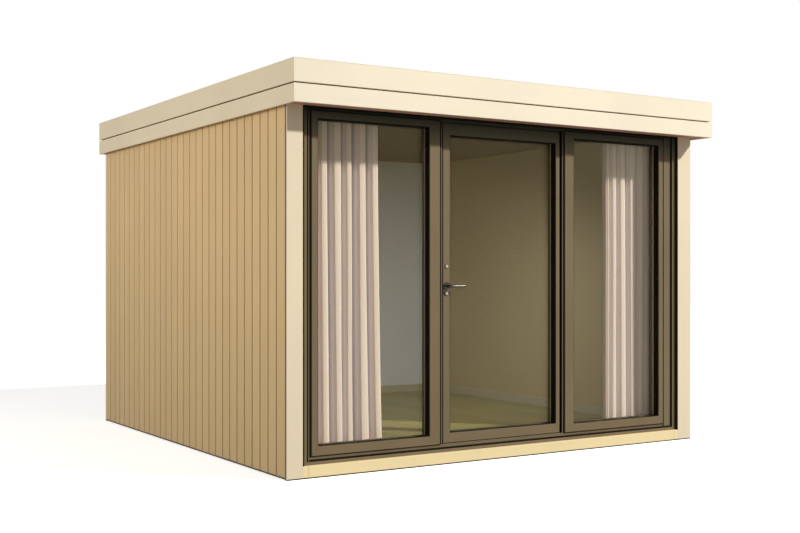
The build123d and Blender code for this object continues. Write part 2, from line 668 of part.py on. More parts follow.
# ---- Inside: curtain track, a channel open below, and the two curtains ----
curtain_y = (frame_back + CURTAIN_GAP, frame_back + CURTAIN_GAP + CURTAIN_DEPTH)
track_y = (middle(curtain_y) - TRACK_DEPTH / 2, middle(curtain_y) + TRACK_DEPTH / 2)
track_z = (ceiling_foot - TRACK_HEIGHT, ceiling_foot)
track_x = (TRACK_END_GAP - room_half, room_half - TRACK_END_GAP)
slot_y = (middle(track_y) - TRACK_SLOT / 2, middle(track_y) + TRACK_SLOT / 2)
with BuildPart() as curtain_track:
    block(track_x, track_y, track_z)
    block(track_x, grown(track_y, -TRACK_WALL), grown(track_z, -TRACK_WALL), mode=Mode.SUBTRACT)
    block(track_x, slot_y, (track_z[0], track_z[0] + TRACK_WALL), mode=Mode.SUBTRACT)
save(curtain_track.part, "curtain_track")

curtain_z = (FLOOR_HEIGHT + CURTAIN_FLOOR_GAP, track_z[0] - HANGING_GAP)
left_start = CURTAIN_WALL_GAP - room_half
slab("left_curtain", (left_start, left_start + LEFT_CURTAIN_WIDTH), curtain_y, curtain_z)
right_end = room_half - CURTAIN_WALL_GAP
slab("right_curtain", (right_end - RIGHT_CURTAIN_WIDTH, right_end), curtain_y, curtain_z)
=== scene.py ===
# %% [markdown]
# # A garden office pod
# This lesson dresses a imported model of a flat-roofed garden room: boarded walls, a deep two-tier fascia and
# a glazed front. The CAD frame already holds every piece at its true place, in metres, with +X along the
# glazed front and +Y from the front to the back. Each cell below adds one finish or one piece to that
# frame.

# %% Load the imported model
import math
import random

import bmesh
import bpy
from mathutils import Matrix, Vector


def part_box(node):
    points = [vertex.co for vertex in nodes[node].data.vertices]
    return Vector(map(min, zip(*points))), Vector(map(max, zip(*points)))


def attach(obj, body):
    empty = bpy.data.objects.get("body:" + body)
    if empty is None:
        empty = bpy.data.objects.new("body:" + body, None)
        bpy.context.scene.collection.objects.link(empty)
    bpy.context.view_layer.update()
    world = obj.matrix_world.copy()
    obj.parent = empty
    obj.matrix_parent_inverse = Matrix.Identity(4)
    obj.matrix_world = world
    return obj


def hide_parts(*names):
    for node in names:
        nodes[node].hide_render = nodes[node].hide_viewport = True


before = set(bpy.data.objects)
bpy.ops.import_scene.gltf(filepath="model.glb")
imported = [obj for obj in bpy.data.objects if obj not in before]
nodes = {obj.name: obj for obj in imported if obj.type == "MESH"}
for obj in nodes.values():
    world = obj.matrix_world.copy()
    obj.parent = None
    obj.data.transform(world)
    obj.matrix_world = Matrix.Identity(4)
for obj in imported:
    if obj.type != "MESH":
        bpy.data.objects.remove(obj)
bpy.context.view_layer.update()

# %% [markdown]
# ## The camera
# The pod is seen by somebody standing on the lawn off its front left corner, at about eye height. A level
# camera keeps the corner boards upright, as an architectural photographer would, and a small upward shift
# frames the roof without tilting. The place is given from the corner boards, so it follows them.

# %% Camera off the front left corner
EYE_HEIGHT = 1.2397
EYE_LEFT = 4.8247  # left of the middle of the pod
EYE_BEFORE = 6.2548  # in front of the corner boards
EYE_TURN = math.radians(32.19)
LENS = 52.583
UPWARD_SHIFT = 0.0083

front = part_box("front_corner_boards")[0].y
camera = bpy.data.objects.new("camera", bpy.data.cameras.new("camera"))
bpy.context.scene.collection.objects.link(camera)
camera.location = (-EYE_LEFT, front - EYE_BEFORE, EYE_HEIGHT)
camera.rotation_euler = (math.radians(90), 0, -EYE_TURN)
camera.data.sensor_width = 36
camera.data.lens = LENS
camera.data.shift_y = UPWARD_SHIFT
bpy.context.scene.camera = camera
bpy.context.scene.view_settings.view_transform = "Standard"
print("camera at", tuple(round(c, 3) for c in camera.location))

# %% [markdown]
# ## Nodes and colours
# Every finish is made from shader nodes, so it needs no picture files and has no seams. Colours are quoted
# as a paint chart quotes them, from 0 to 255, and turned into the linear values that the shader works in. A
# small helper adds a node and fills its sockets in one line, which keeps each finish short enough to read.

# %% Colour and node helpers
CLOUD = (0.35, 0.65)  # where most values of a soft noise lie
GRAIN = (0.30, 0.70)  # and of a noise with fine detail


def paint(red, green, blue):
    """A chart colour, 0 to 255 a channel, as the linear RGBA that shaders use."""
    linear = [((c / 255 + 0.055) / 1.055) ** 2.4 if c > 10 else c / 255 / 12.92 for c in (red, green, blue)]
    return (*linear, 1.0)


def add_node(tree, kind, sockets=None, **settings):
    """A node of a kind with its settings, and its sockets filled by number, colour or link."""
    made = tree.nodes.new("ShaderNode" + kind)
    for name, value in settings.items():
        setattr(made, name, value)
    for name, value in (sockets or {}).items():
        if isinstance(value, bpy.types.NodeSocket):
            tree.links.new(value, made.inputs[name])
        else:
            made.inputs[name].default_value = value
    return made


def new_finish(name, sockets):
    """A material of one Principled shader with its sockets filled, its tree and its Object coordinates."""
    finish = bpy.data.materials.new(name)
    finish.use_nodes = True
    tree = finish.node_tree
    tree.nodes.clear()
    shader = add_node(tree, "BsdfPrincipled", sockets)
    add_node(tree, "OutputMaterial", {"Surface": shader.outputs[0]})
    place = add_node(tree, "TexCoord").outputs["Object"]
    return finish, tree, shader, place


def noise(tree, place, scale, detail=4.0, roughness=0.55):
    """Cloudy noise, 0 to 1, with its own scale along each axis."""
    moved = add_node(tree, "Mapping", {"Vector": place, "Scale": scale})
    made = add_node(tree, "TexNoise", {"Vector": moved.outputs[0], "Scale": 1.0, "Detail": detail,
                                       "Roughness": roughness})
    return made.outputs[0]


def ranged(tree, value, low, high, to_low, to_high):
    """A value moved from one range to another, and held within it."""
    sockets = {"Value": value, "From Min": low, "From Max": high, "To Min": to_low, "To Max": to_high}
    return add_node(tree, "MapRange", sockets).outputs[0]


def times(tree, first, second):
    """Two values multiplied."""
    return add_node(tree, "Math", {0: first, 1: second}, operation="MULTIPLY").outputs[0]


def mixed(tree, value, span, first, second, most=1.0):
    """A colour that goes from the first towards the second while a value crosses a span."""
    factor = ranged(tree, value, *span, 0.0, most)
    return add_node(tree, "Mix", {0: factor, 6: first, 7: second}, data_type="RGBA").outputs[2]


def shaded(tree, colour, shade):
    """A colour made darker or lighter by a value."""
    return add_node(tree, "VectorMath", {0: colour, "Scale": shade}, operation="SCALE").outputs[0]


def dressed(tree, shader, colour, height, distance, strength=0.5):
    """Give a shader its colour, and a fine relief of so many metres."""
    tree.links.new(colour, shader.inputs["Base Color"])
    bump = add_node(tree, "Bump", {"Height": height, "Distance": distance, "Strength": strength})
    tree.links.new(bump.outputs[0], shader.inputs["Normal"])


def dimmed(colour, share):
    """The same hue, darker or lighter."""
    return (*[c * share for c in colour[:3]], 1.0)


print("white paint is", paint(255, 255, 255), "and black is", paint(0, 0, 0))

# %% [markdown]
# ## The studio
# The pod stands on a plain pale floor that runs on into a white sky. Rays from the camera, from gloss and
# through glass see a white sky, while rays that only carry light see a plainer one, so the background is
# white without more light on the paint. The floor is lifted towards white in the same way, and only as far
# as leaves the pod a faint shadow to stand in.

# %% Floor and sky
SKY_LEVEL = 0.33
FLOOR_SIZE = 60
FLOOR_LEVEL = 0.57  # added for the camera only, so the floor meets the sky


def seen_ray(tree):
    """1 for rays that show the background: from the camera, from gloss and through glass."""
    path = add_node(tree, "LightPath")
    total = path.outputs["Is Camera Ray"]
    for name in ("Is Glossy Ray", "Is Transmission Ray"):
        total = add_node(tree, "Math", {0: total, 1: path.outputs[name]}, operation="MAXIMUM").outputs[0]
    return total


world = bpy.data.worlds.new("studio_sky")
bpy.context.scene.world = world
world.use_nodes = True
sky = world.node_tree
sky.nodes.clear()
even = add_node(sky, "Background", {"Color": (1.0, 0.985, 0.955, 1), "Strength": SKY_LEVEL})
white = add_node(sky, "Background", {"Color": (1, 1, 1, 1), "Strength": 1.0})
both = add_node(sky, "MixShader", {0: seen_ray(sky), 1: even.outputs[0], 2: white.outputs[0]})
add_node(sky, "OutputWorld", {"Surface": both.outputs[0]})

bpy.ops.mesh.primitive_plane_add(size=FLOOR_SIZE, location=(0, 0, 0))
floor = bpy.context.object
floor.name = "studio_floor"
floor_finish = bpy.data.materials.new("studio_floor")
floor_finish.use_nodes = True
tree = floor_finish.node_tree
tree.nodes.clear()
lit = add_node(tree, "BsdfDiffuse", {"Color": (0.26, 0.26, 0.25, 1)})
pale = add_node(tree, "BsdfDiffuse", {"Color": (0.86, 0.86, 0.86, 1)})
glow = add_node(tree, "Emission", {"Color": (1, 1, 1, 1), "Strength": FLOOR_LEVEL})
lifted = add_node(tree, "AddShader", {0: pale.outputs[0], 1: glow.outputs[0]})
shown = add_node(tree, "MixShader", {0: seen_ray(tree), 1: lit.outputs[0], 2: lifted.outputs[0]})
add_node(tree, "OutputMaterial", {"Surface": shown.outputs[0]})
floor.data.materials.append(floor_finish)
floor.visible_glossy = False          # gloss and glass show the even white sky instead
floor.visible_transmission = False
print("sky level", SKY_LEVEL, "and floor", FLOOR_SIZE, "m across")

# %% [markdown]
# ## The lamps
# A distant lamp in front and to the right stands for a high sun, so the overhang shades the head of the
# glazed set and the tops of the curtains with soft, nearly level edges. A weaker lamp keeps the boarded
# side readable. A small one under the ceiling does what daylight from the garden does in a real room: it
# brings up the floor and the far wall behind the glass.

# %% Key, fill and room lamps
KEY_POWER = 22600  # watts; the key lamp stands far off
FILL_POWER = 275
ROOM_POWER = 7.2
ROOM_SPREAD = math.radians(100)


def soft_lamp(name, place, aim, size, power, tint=(1, 1, 1), spread=math.pi):
    """A broad rectangular lamp at a place, turned to a point."""
    lamp = bpy.data.lights.new(name, "AREA")
    lamp.shape, lamp.size, lamp.size_y = "RECTANGLE", size[0], size[1]
    lamp.energy, lamp.color, lamp.spread = power, tint, spread
    holder = bpy.data.objects.new(name, lamp)
    bpy.context.scene.collection.objects.link(holder)
    holder.location = place
    holder.rotation_euler = (Vector(aim) - Vector(place)).to_track_quat("-Z", "Y").to_euler()
    holder.visible_camera = False


soft_lamp("key_lamp", place=(25.4, front - 28.4, 27.0), aim=(0.0, front, 1.3), size=(2.2, 2.2),
          power=KEY_POWER, tint=(1, 0.965, 0.91))
soft_lamp("fill_lamp", place=(-9.0, -0.7, 3.3), aim=(-1.6, 0.3, 1.2), size=(5.0, 3.0),
          power=FILL_POWER, tint=(1, 0.975, 0.93))
soft_lamp("room_lamp", place=(0.0, front + 0.5, 1.9), aim=(1.0, front + 2.4, 0.2), size=(1.2, 0.3),
          power=ROOM_POWER, tint=(0.95, 0.97, 1.0), spread=ROOM_SPREAD)
print("lamps of", KEY_POWER, FILL_POWER, "and", ROOM_POWER, "watts")

# %% [markdown]
# ## Painted and stained timber
# The walls, corner boards and fascia are planed softwood under low-sheen paint. Paint hides the colour of
# the grain but not its relief, so the grain is mostly in the bump and only slightly in the colour. Noise
# stretched along the board gives the grain, a second soft noise gives the patchiness of brushed paint, and
# the walls get a little darker towards the ground. A tone stored on each board makes neighbours differ a
# little, as separate boards do.

# %% How a timber finish is made
GRAIN_ALONG = 1.1  # ripples in the grain per metre, along and across the board
GRAIN_ACROSS = 85.0
GRAIN_CONTRAST = (0.36, 0.64)
PATCH_SHADES = (0.965, 1.015)
DARKENING_TOP = 1.6  # above this height the boards are not darkened


def timber(name, colour, along, depth=0.05, tone=0.05, low_darkening=0.0, roughness=(0.52, 0.66), relief=0.0006):
    """Painted or stained boards whose grain runs along axis 0, 1 or 2."""
    finish, tree, shader, place = new_finish(name, {})
    stretch = [GRAIN_ACROSS] * 3
    stretch[along] = GRAIN_ALONG
    grain = noise(tree, place, stretch, detail=6.0, roughness=0.62)
    patches = noise(tree, place, (1.9, 1.9, 1.3), detail=3.0)
    body = mixed(tree, grain, GRAIN_CONTRAST, dimmed(colour, 1 - depth), colour)
    shade = ranged(tree, patches, *CLOUD, *PATCH_SHADES)
    board = add_node(tree, "Attribute", attribute_name="board_tone").outputs["Fac"]
    shade = times(tree, shade, ranged(tree, board, 0.0, 1.0, 1.0, 1.0 - tone))
    # darker towards the ground, up to a given height
    if low_darkening:
        height = add_node(tree, "SeparateXYZ", {0: place}).outputs[2]
        shade = times(tree, shade, ranged(tree, height, 0.0, DARKENING_TOP, 1.0 - low_darkening, 1.0))
    tree.links.new(ranged(tree, grain, *GRAIN, *roughness), shader.inputs["Roughness"])
    dressed(tree, shader, shaded(tree, body, shade), grain, relief)
    return finish


print("grain ripples", GRAIN_ACROSS, "times a metre across the board and", GRAIN_ALONG, "along it")

# %% [markdown]
# ## The colours of the timber
# The fascia and the corner boards are cream, the sill is a warmer cream and the walls are a sandy buff. The
# soffit is stained, the framing is bare softwood, and the grooves between the wall boards are nearly black,
# as painted shade together with dust. A colour has one finish for each direction in which its boards run,
# so that the grain follows the board, and the fascias along the sides take a darker cream as painted shade.

# %% Timber finishes
CREAM = paint(243, 233, 210)
# a darker copy of the cream, as painted shade on the side fascias
SHADED_SIDE_CREAM = paint(234, 217, 184)
CORNER_CREAM = paint(234, 219, 190)
SAND = paint(222, 188, 132)
SILL_CREAM = paint(243, 224, 174)
STAIN = paint(230, 164, 136)
trim_upright = timber("trim_paint_upright", CORNER_CREAM, along=2, depth=0.03, low_darkening=0.03)
trim_across = timber("trim_paint_across", CREAM, along=0, depth=0.03)
# painted shade: the side fascias take the darker cream
trim_shaded_side = timber("trim_paint_shaded_side", SHADED_SIDE_CREAM, along=1, depth=0.03)
cladding_paint = timber("cladding_paint", SAND, along=2, depth=0.02, tone=0.06, low_darkening=0.16)
# painted shade and dust: the nearly black slots of the board joints
joint_shade_and_dust = timber("cladding_joint_shade_and_dust", paint(46, 32, 19), along=2, depth=0.05)
sill_paint = timber("sill_paint", SILL_CREAM, along=0, depth=0.04)
soffit_stain = timber("soffit_stain", STAIN, along=0, depth=0.25, tone=0.12)
framing_timber = timber("framing_timber", paint(176, 142, 104), along=2, depth=0.2)
print("wall boards are", [round(c, 3) for c in SAND])

# %% [markdown]
# ## Metal, rubber and linings
# The glazed set is aluminium under a bronze powder coat, which is a fine pebbled skin with a soft sheen. It
# is a paint, so it isn't metallic in the shader. At the head the coat is painted darker and greener, and
# darkest just below the soffit, as painted shade of the overhang. The hinges and the lock plugs are bare
# satin metal, brushed along their length, and the lever and its roses are the same metal with a dark coat.
# The seals are matt black rubber, which in the gaps of the glazed set also stands as painted shade, and so
# is the roof sheet, which is dusty and a little patchy.

# %% How metal, rubber and linings are made
PAINTED_SHADE_HEIGHTS = (2.07, 2.15)  # heights over which the coat is painted darker, as painted shade of the overhang,
DEEPEST_SHADE_HEIGHTS = (2.14, 2.25)  # and over which it is painted darkest, as painted shade right below the soffit
BRUSH_LINES = 2600.0  # per metre across the brushing
BRUSH_LENGTH = 40.0  # and along it


def powder_coat(name, colour, shade_painted, deepest_shade_painted, roughness=0.48):
    """A satin powder coat with a pebbled skin, with painted shade under the overhang that is darkest below
    the soffit.
    """
    finish, tree, shader, place = new_finish(name, {"Roughness": roughness, "Specular IOR Level": 0.1})
    pebbles = noise(tree, place, (900, 900, 900), detail=2.0)
    cloud = noise(tree, place, (3.0, 3.0, 1.5), detail=3.0)
    body = mixed(tree, cloud, CLOUD, dimmed(colour, 0.93), dimmed(colour, 1.04))
    height = add_node(tree, "SeparateXYZ", {0: place}).outputs[2]
    # painted shade: a darker, greener coat under the overhang, and darkest right below the soffit
    body = mixed(tree, height, PAINTED_SHADE_HEIGHTS, body, shade_painted)
    body = mixed(tree, height, DEEPEST_SHADE_HEIGHTS, body, deepest_shade_painted)
    dressed(tree, shader, body, pebbles, 0.00008, 0.35)
    return finish


def rubber(name, colour, dust=0.0, roughness=0.7):
    """Matt rubber, with some pale dust lying on it."""
    finish, tree, shader, place = new_finish(name, {"Roughness": roughness, "Specular IOR Level": 0.05})
    cloud = noise(tree, place, (2.2, 2.2, 2.2), detail=7.0, roughness=0.65)
    dusty = mixed(tree, cloud, (0.42, 0.75), colour, paint(150, 145, 135), most=dust)
    dressed(tree, shader, dusty, noise(tree, place, (160, 160, 160)), 0.0002, 0.3)
    return finish


def brushed_metal(name, colour, along):
    """Bare satin metal with fine brush lines along one axis."""
    finish, tree, shader, place = new_finish(name, {"Roughness": 0.3, "Metallic": 1.0})
    stretch = [BRUSH_LINES] * 3
    stretch[along] = BRUSH_LENGTH
    lines = noise(tree, place, stretch, detail=3.0)
    body = mixed(tree, lines, GRAIN, dimmed(colour, 0.9), colour)
    tree.links.new(ranged(tree, lines, *GRAIN, 0.22, 0.36), shader.inputs["Roughness"])
    dressed(tree, shader, body, lines, 0.00003, 0.3)
    return finish


def lining(name, colour, roughness=0.6, depth=0.03):
    """A plain painted lining with the fine stipple that a roller leaves."""
    finish, tree, shader, place = new_finish(name, {"Roughness": roughness})
    cloud = noise(tree, place, (1.3, 1.3, 1.3), detail=3.0)
    body = mixed(tree, cloud, CLOUD, dimmed(colour, 1 - depth), colour)
    dressed(tree, shader, body, noise(tree, place, (420, 420, 420)), 0.00003, 0.2)
    return finish


print("the coat is sheltered above", PAINTED_SHADE_HEIGHTS[0], "m")

# %% [markdown]
# ## The colours of the metal, rubber and linings
# One bronze coat covers the whole glazed set, and the trim on the roof edge has a cream coat that matches
# the fascia. The room is lined in plain paint, with a paler rear wall, a stained ceiling and a floor of
# planks.

# %% Metal, rubber and lining finishes
BRONZE = paint(124, 109, 84)
# the second bronze is painted shade under the overhang, and a third of its brightness is the painted shade
# below the soffit
SHADE_PAINTED_BRONZE = paint(96, 94, 74)
EDGE_CREAM = paint(238, 226, 198)
bronze = powder_coat("bronze_powder_coat", BRONZE, SHADE_PAINTED_BRONZE, dimmed(SHADE_PAINTED_BRONZE, 0.35))
edge_coat = powder_coat("roof_edge_coat", EDGE_CREAM, EDGE_CREAM, EDGE_CREAM)
# black rubber for the real gaskets, also used as painted shade in the gaps and reveals of the glazed set
seal_rubber = rubber("seal_rubber", (0.010, 0.009, 0.007, 1))
roof_rubber = rubber("roof_rubber", (0.028, 0.028, 0.03, 1), dust=0.2, roughness=0.62)
satin_metal = brushed_metal("satin_metal", (0.34, 0.32, 0.29, 1), along=0)
plug_metal = brushed_metal("plug_metal", (0.5, 0.47, 0.41, 1), along=0)
lever_metal = brushed_metal("lever_metal", (0.08, 0.075, 0.064, 1), along=0)
rose_metal = brushed_metal("rose_metal", (0.075, 0.07, 0.06, 1), along=0)
wall_lining = lining("wall_lining", paint(194, 177, 138))
rear_lining = lining("rear_lining", paint(225, 227, 230))
ceiling_lining = timber("ceiling_lining", paint(90, 68, 38), along=0, depth=0.25)
skirting_paint = lining("skirting_paint", paint(190, 181, 156), 0.45)
floor_wood = timber("floor_wood", paint(172, 162, 104), along=1, depth=0.3, tone=0.2, roughness=(0.3, 0.42))
spacer_metal = lining("spacer_metal", paint(176, 166, 146), 0.4, depth=0.06)
track_white = lining("track_coat", paint(226, 224, 216), 0.35)
dark_board = timber("groove_backing", paint(98, 64, 36), along=0, depth=0.2)
panel_board = timber("insulated_panel", paint(170, 140, 100), along=1, depth=0.3)
print("bronze is", [round(c, 3) for c in BRONZE])

# %% [markdown]
# ## Finishes on the CAD pieces
# The pieces whose shape is already right keep their CAD mesh and only take a finish. Boards that run in
# different directions take the finish whose grain runs the same way.

# %% Give the CAD nodes their finishes
FINISHES = {
    "front_corner_boards": trim_upright, "rear_corner_boards": trim_upright,
    "front_fascia": trim_across, "rear_fascia": trim_across,
    "left_fascia": trim_shaded_side, "right_fascia": trim_shaded_side, "front_sill": sill_paint,
    "roof_battens": framing_timber, "front_posts": framing_timber, "front_lintel": framing_timber,
    "roof_membrane": roof_rubber, "roof_trim": edge_coat,
    "roof_panel": dark_board, "floor_panel": panel_board,
    "left_wall": wall_lining, "right_wall": wall_lining, "rear_wall": rear_lining,
    "ceiling": ceiling_lining, "skirting": skirting_paint,
    "side_light_gasket": seal_rubber, "door_gasket": seal_rubber,
    "door_lever": lever_metal, "door_furniture": rose_metal,
    "door_hinges": satin_metal, "frame_hinges": satin_metal, "curtain_track": track_white,
}
BRONZE_NODES = ("frame_left_jamb", "frame_right_jamb", "frame_head", "frame_threshold", "frame_cover_strip",
                "mullions", "left_light_frame", "right_light_frame", "side_light_beads", "door_frame",
                "door_beads")
FINISHES.update({name: bronze for name in BRONZE_NODES})
for name, finish in FINISHES.items():
    nodes[name].data.materials.clear()
    nodes[name].data.materials.append(finish)
print(len(FINISHES), "CAD nodes finished; still to replace:", sorted(set(nodes) - set(FINISHES)))

# %% [markdown]
# ## Making boards
# A tongued and grooved board has the same section from end to end, so it is made by drawing that section
# and carrying it along the board. One helper does this for a whole run of boards and joins them in one
# mesh. Each board also stores a tone of its own for the paint.

# %% Helpers for pieces made of boards
TONE_SEED = 7


def piece_from(name, bm, finishes, body):
    """A finished piece from a bmesh, riding on a body."""
    bmesh.ops.recalc_face_normals(bm, faces=bm.faces)
    mesh = bpy.data.meshes.new(name)
    bm.to_mesh(mesh)
    bm.free()
    made = bpy.data.objects.new(name, mesh)
    bpy.context.scene.collection.objects.link(made)
    for finish in finishes:
        mesh.materials.append(finish)
    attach(made, body)
    return made


def add_box(bm, low, high):
    """A plain block between two corners, to be part of a larger mesh."""
    corners = [(low[0], low[1]), (high[0], low[1]), (high[0], high[1]), (low[0], high[1])]
    add_prism(bm, corners, low[2], high[2], lambda u, v, w: (u, v, w))


def add_prism(bm, section, start, end, place, tone=0.0, inside=()):
    """A bar with a section, from start to end, put where place(u, v, w) says. Sides named inside take the
    second finish."""
    layer = bm.faces.layers.float.get("board_tone") or bm.faces.layers.float.new("board_tone")
    ends = [[bm.verts.new(place(u, v, w)) for u, v in section] for w in (start, end)]
    count = len(section)
    faces = [bm.faces.new(ends[0]), bm.faces.new(ends[1])]
    for i in range(count):
        j = (i + 1) % count
        side = bm.faces.new((ends[0][i], ends[0][j], ends[1][j], ends[1][i]))
        side.material_index = 1 if i in inside else 0
        faces.append(side)
    for face in faces:
        face[layer] = tone


def tones(seed):
    """An endless run of board tones, 0 to 1, the same each time."""
    dice = random.Random(seed)
    while True:
        yield dice.random()


print("board helpers ready")

# %% [markdown]
# ## The wall cladding
# The walls are clad in upright boards with a V joint between neighbours. Seen close, each joint is two
# small chamfers and a dark slot with the tongue behind it. Drawing a line on a flat wall would give no
# shadow, so every board is real: 29 a side, whose tongue slides under the next board. The slot is painted
# nearly black, as painted shade in the slot together with the dust that gathers there.

# %% Boards on the side and rear walls
FIRST_BOARD = 0.122  # the board beside the front corner board
BOARD_PITCH = 0.1152
JOINT_CHAMFER = 0.0030
JOINT_SLOT = 0.0105
TONGUE_LENGTH = 0.006
TONGUE_FRONT = 0.010  # behind the face of the board
TONGUE_BACK = 0.0145
TONGUE_PLAY = 0.0004  # between a tongue and its groove

side_low, side_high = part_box("side_cladding")
rear_low, rear_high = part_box("rear_cladding")
board_thickness = rear_high.y - rear_low.y


def board_edges(length, first, pitch):
    """Where the boards of a wall meet, from one end to the other."""
    edges = [0.0, first]
    while edges[-1] + pitch < length - pitch / 3:
        edges.append(edges[-1] + pitch)
    return edges + [length]


def board_section(start, end, is_last):
    """The section of one board, seen from above: u along the wall, v inwards from its face."""
    left, right = start + JOINT_SLOT / 2, end - (0.0 if is_last else JOINT_SLOT / 2)
    chamfer = JOINT_CHAMFER
    section = [(left, chamfer), (left + chamfer, 0.0), (right - chamfer, 0.0), (right, chamfer)]
    if not is_last:
        section += [(right, TONGUE_FRONT), (right + TONGUE_LENGTH, TONGUE_FRONT),
                    (right + TONGUE_LENGTH, TONGUE_BACK), (right, TONGUE_BACK)]
    section += [(right, board_thickness), (left, board_thickness)]
    if start > 0:
        groove_back, groove_front = TONGUE_BACK + TONGUE_PLAY, TONGUE_FRONT - TONGUE_PLAY
        section += [(left, groove_back), (left + TONGUE_LENGTH, groove_back),
                    (left + TONGUE_LENGTH, groove_front), (left, groove_front)]
    return section


def clad_wall(bm, length, place, low, high, seed):
    """All the boards of one wall."""
    edges = board_edges(length, FIRST_BOARD, BOARD_PITCH)
    for start, end, tone in zip(edges, edges[1:], tones(seed)):
        is_last = end == length
        section = board_section(start, end, is_last)
        add_prism(bm, section, low, high, place, tone, () if is_last else (3, 4))
    return len(edges) - 1


side_boards = bmesh.new()
side_length = side_high.y - side_low.y
left_count = clad_wall(side_boards, side_length, lambda u, v, w: (side_low.x + v, side_low.y + u, w),
                       side_low.z, side_high.z, TONE_SEED)
clad_wall(side_boards, side_length, lambda u, v, w: (side_high.x - v, side_low.y + u, w),
          side_low.z, side_high.z, TONE_SEED + 1)
side_boards = piece_from("side_boards", side_boards, (cladding_paint, joint_shade_and_dust), "shell")
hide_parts("side_cladding")

rear_boards = bmesh.new()
rear_count = clad_wall(rear_boards, rear_high.x - rear_low.x,
                       lambda u, v, w: (rear_low.x + u, rear_high.y - v, w),
                       rear_low.z, rear_high.z, TONE_SEED + 2)
rear_boards = piece_from("rear_boards", rear_boards, (cladding_paint, joint_shade_and_dust), "shell")
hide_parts("rear_cladding")
print(left_count, "boards a side and", rear_count, "at the back,", len(side_boards.data.polygons), "faces")

# %% [markdown]
# ## Soffit boards and floor planks
# The soffit under the front overhang is two narrow stained boards, and the floor is laid in planks that run
# from front to back. Both use the same prism helper. The joints are thin, so each board only has its edges
# planed off, which catches a fine line of light.

# %% Boards under the overhang and planks on the floor
SOFFIT_BOARDS = 2
PLANKS = 17
PLANK_SPLITS = 3
PLANK_OVERLENGTH = 1.2  # planks are a fifth longer than an even split
STAGGER = 0.37  # shift of the end joints from row to row, as a share of a plank
SHORTEST_PLANK = 0.3
BOARD_GAP = 0.0012
BOARD_EASE = 0.0012


def flat_board(bm, x_span, y_span, z_span, along, tone, face_up):
    """A thin board with planed edges on the face that shows, running along axis 0 or 1."""
    spans = (x_span, y_span)
    side = spans[1 - along]
    left, right = side[0] + BOARD_GAP / 2, side[1] - BOARD_GAP / 2
    shown, hidden = (z_span[1], z_span[0]) if face_up else (z_span[0], z_span[1])
    step = BOARD_EASE if face_up else -BOARD_EASE
    section = [(left, hidden), (right, hidden), (right, shown - step), (right - BOARD_EASE, shown),
               (left + BOARD_EASE, shown), (left, shown - step)]
    start, end = spans[along][0] + BOARD_GAP / 2, spans[along][1] - BOARD_GAP / 2
    put = (lambda u, v, w: (w, u, v)) if along == 0 else (lambda u, v, w: (u, w, v))
    add_prism(bm, section, start, end, put, tone)


def even_steps(low, high, count):
    """Equal spans between two ends."""
    return [(low + (high - low) * i / count, low + (high - low) * (i + 1) / count) for i in range(count)]


soffit_low, soffit_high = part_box("front_soffit")
boards = bmesh.new()
for y_span, tone in zip(even_steps(soffit_low.y, soffit_high.y, SOFFIT_BOARDS), tones(TONE_SEED + 3)):
    flat_board(boards, (soffit_low.x, soffit_high.x), y_span, (soffit_low.z, soffit_high.z), 0, tone, False)
soffit_boards = piece_from("soffit_boards", boards, (soffit_stain,), "shell")
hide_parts("front_soffit")

floor_low, floor_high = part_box("floor_covering")
boards = bmesh.new()
tone = tones(TONE_SEED + 4)
plank = (floor_high.y - floor_low.y) / PLANK_SPLITS * PLANK_OVERLENGTH
for row, x_span in enumerate(even_steps(floor_low.x, floor_high.x, PLANKS)):
    first_plank = plank * ((row * STAGGER) % 1.0)
    ends = [floor_low.y]
    while ends[-1] < floor_high.y:
        step = first_plank if len(ends) == 1 and first_plank > SHORTEST_PLANK else plank
        ends.append(min(ends[-1] + step, floor_high.y))
    for y_span in zip(ends, ends[1:]):
        flat_board(boards, x_span, y_span, (floor_low.z, floor_high.z), 1, next(tone), True)
floor_planks = piece_from("floor_planks", boards, (floor_wood,), "shell")
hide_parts("floor_covering")
print("soffit boards", SOFFIT_BOARDS, "and floor faces", len(floor_planks.data.polygons))

# %% [markdown]
# ## Laps in the roof sheet
# The rubber roof comes in rolls narrower than the pod, so two laps run from side to side, where one sheet
# is glued over the next. Each lap is a low strip with sloping edges that follows the fall of the roof. A
# bump would not show from a low view, and the strip costs only a few faces.

# %% Two laps across the roof
ROOF_LAPS = 2
LAP_WIDTH = 0.075
LAP_RISE = 0.0025
LAP_SLOPE = 0.006
SHEET_THICKNESS = 0.006  # at the low, rear end

sheet_low, sheet_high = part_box("roof_membrane")
roof_fall = sheet_high.z - sheet_low.z - SHEET_THICKNESS


def sheet_top(y):
    """Height of the roof sheet at a distance along Y."""
    return sheet_high.z - roof_fall * (y - sheet_low.y) / (sheet_high.y - sheet_low.y)


laps = bmesh.new()
for start, _ in even_steps(sheet_low.y, sheet_high.y, ROOF_LAPS + 1)[1:]:
    end = start + LAP_WIDTH
    corners = ((start, 0), (end, 0), (end - LAP_SLOPE, LAP_RISE), (start + LAP_SLOPE, LAP_RISE))
    lap_section = [(y, sheet_top(y) + rise) for y, rise in corners]
    add_prism(laps, lap_section, sheet_low.x, sheet_high.x, lambda u, v, w: (w, u, v))
piece_from("roof_laps", laps, (roof_rubber,), "shell")
print("the roof falls", round(roof_fall, 3), "and has", ROOF_LAPS, "laps")

# %% [markdown]
# ## Upstands of the roof sheet
# At each edge the rubber is dressed up the inside of the kerb and ends under the metal trim, so that rain
# can't get behind it. From above, the kerb is therefore black and not bare timber. Four thin sheets stand
# against the kerb, from the roof sheet to the underside of the trim.

# %% Rubber dressed up the kerb
UPSTAND = 0.0015

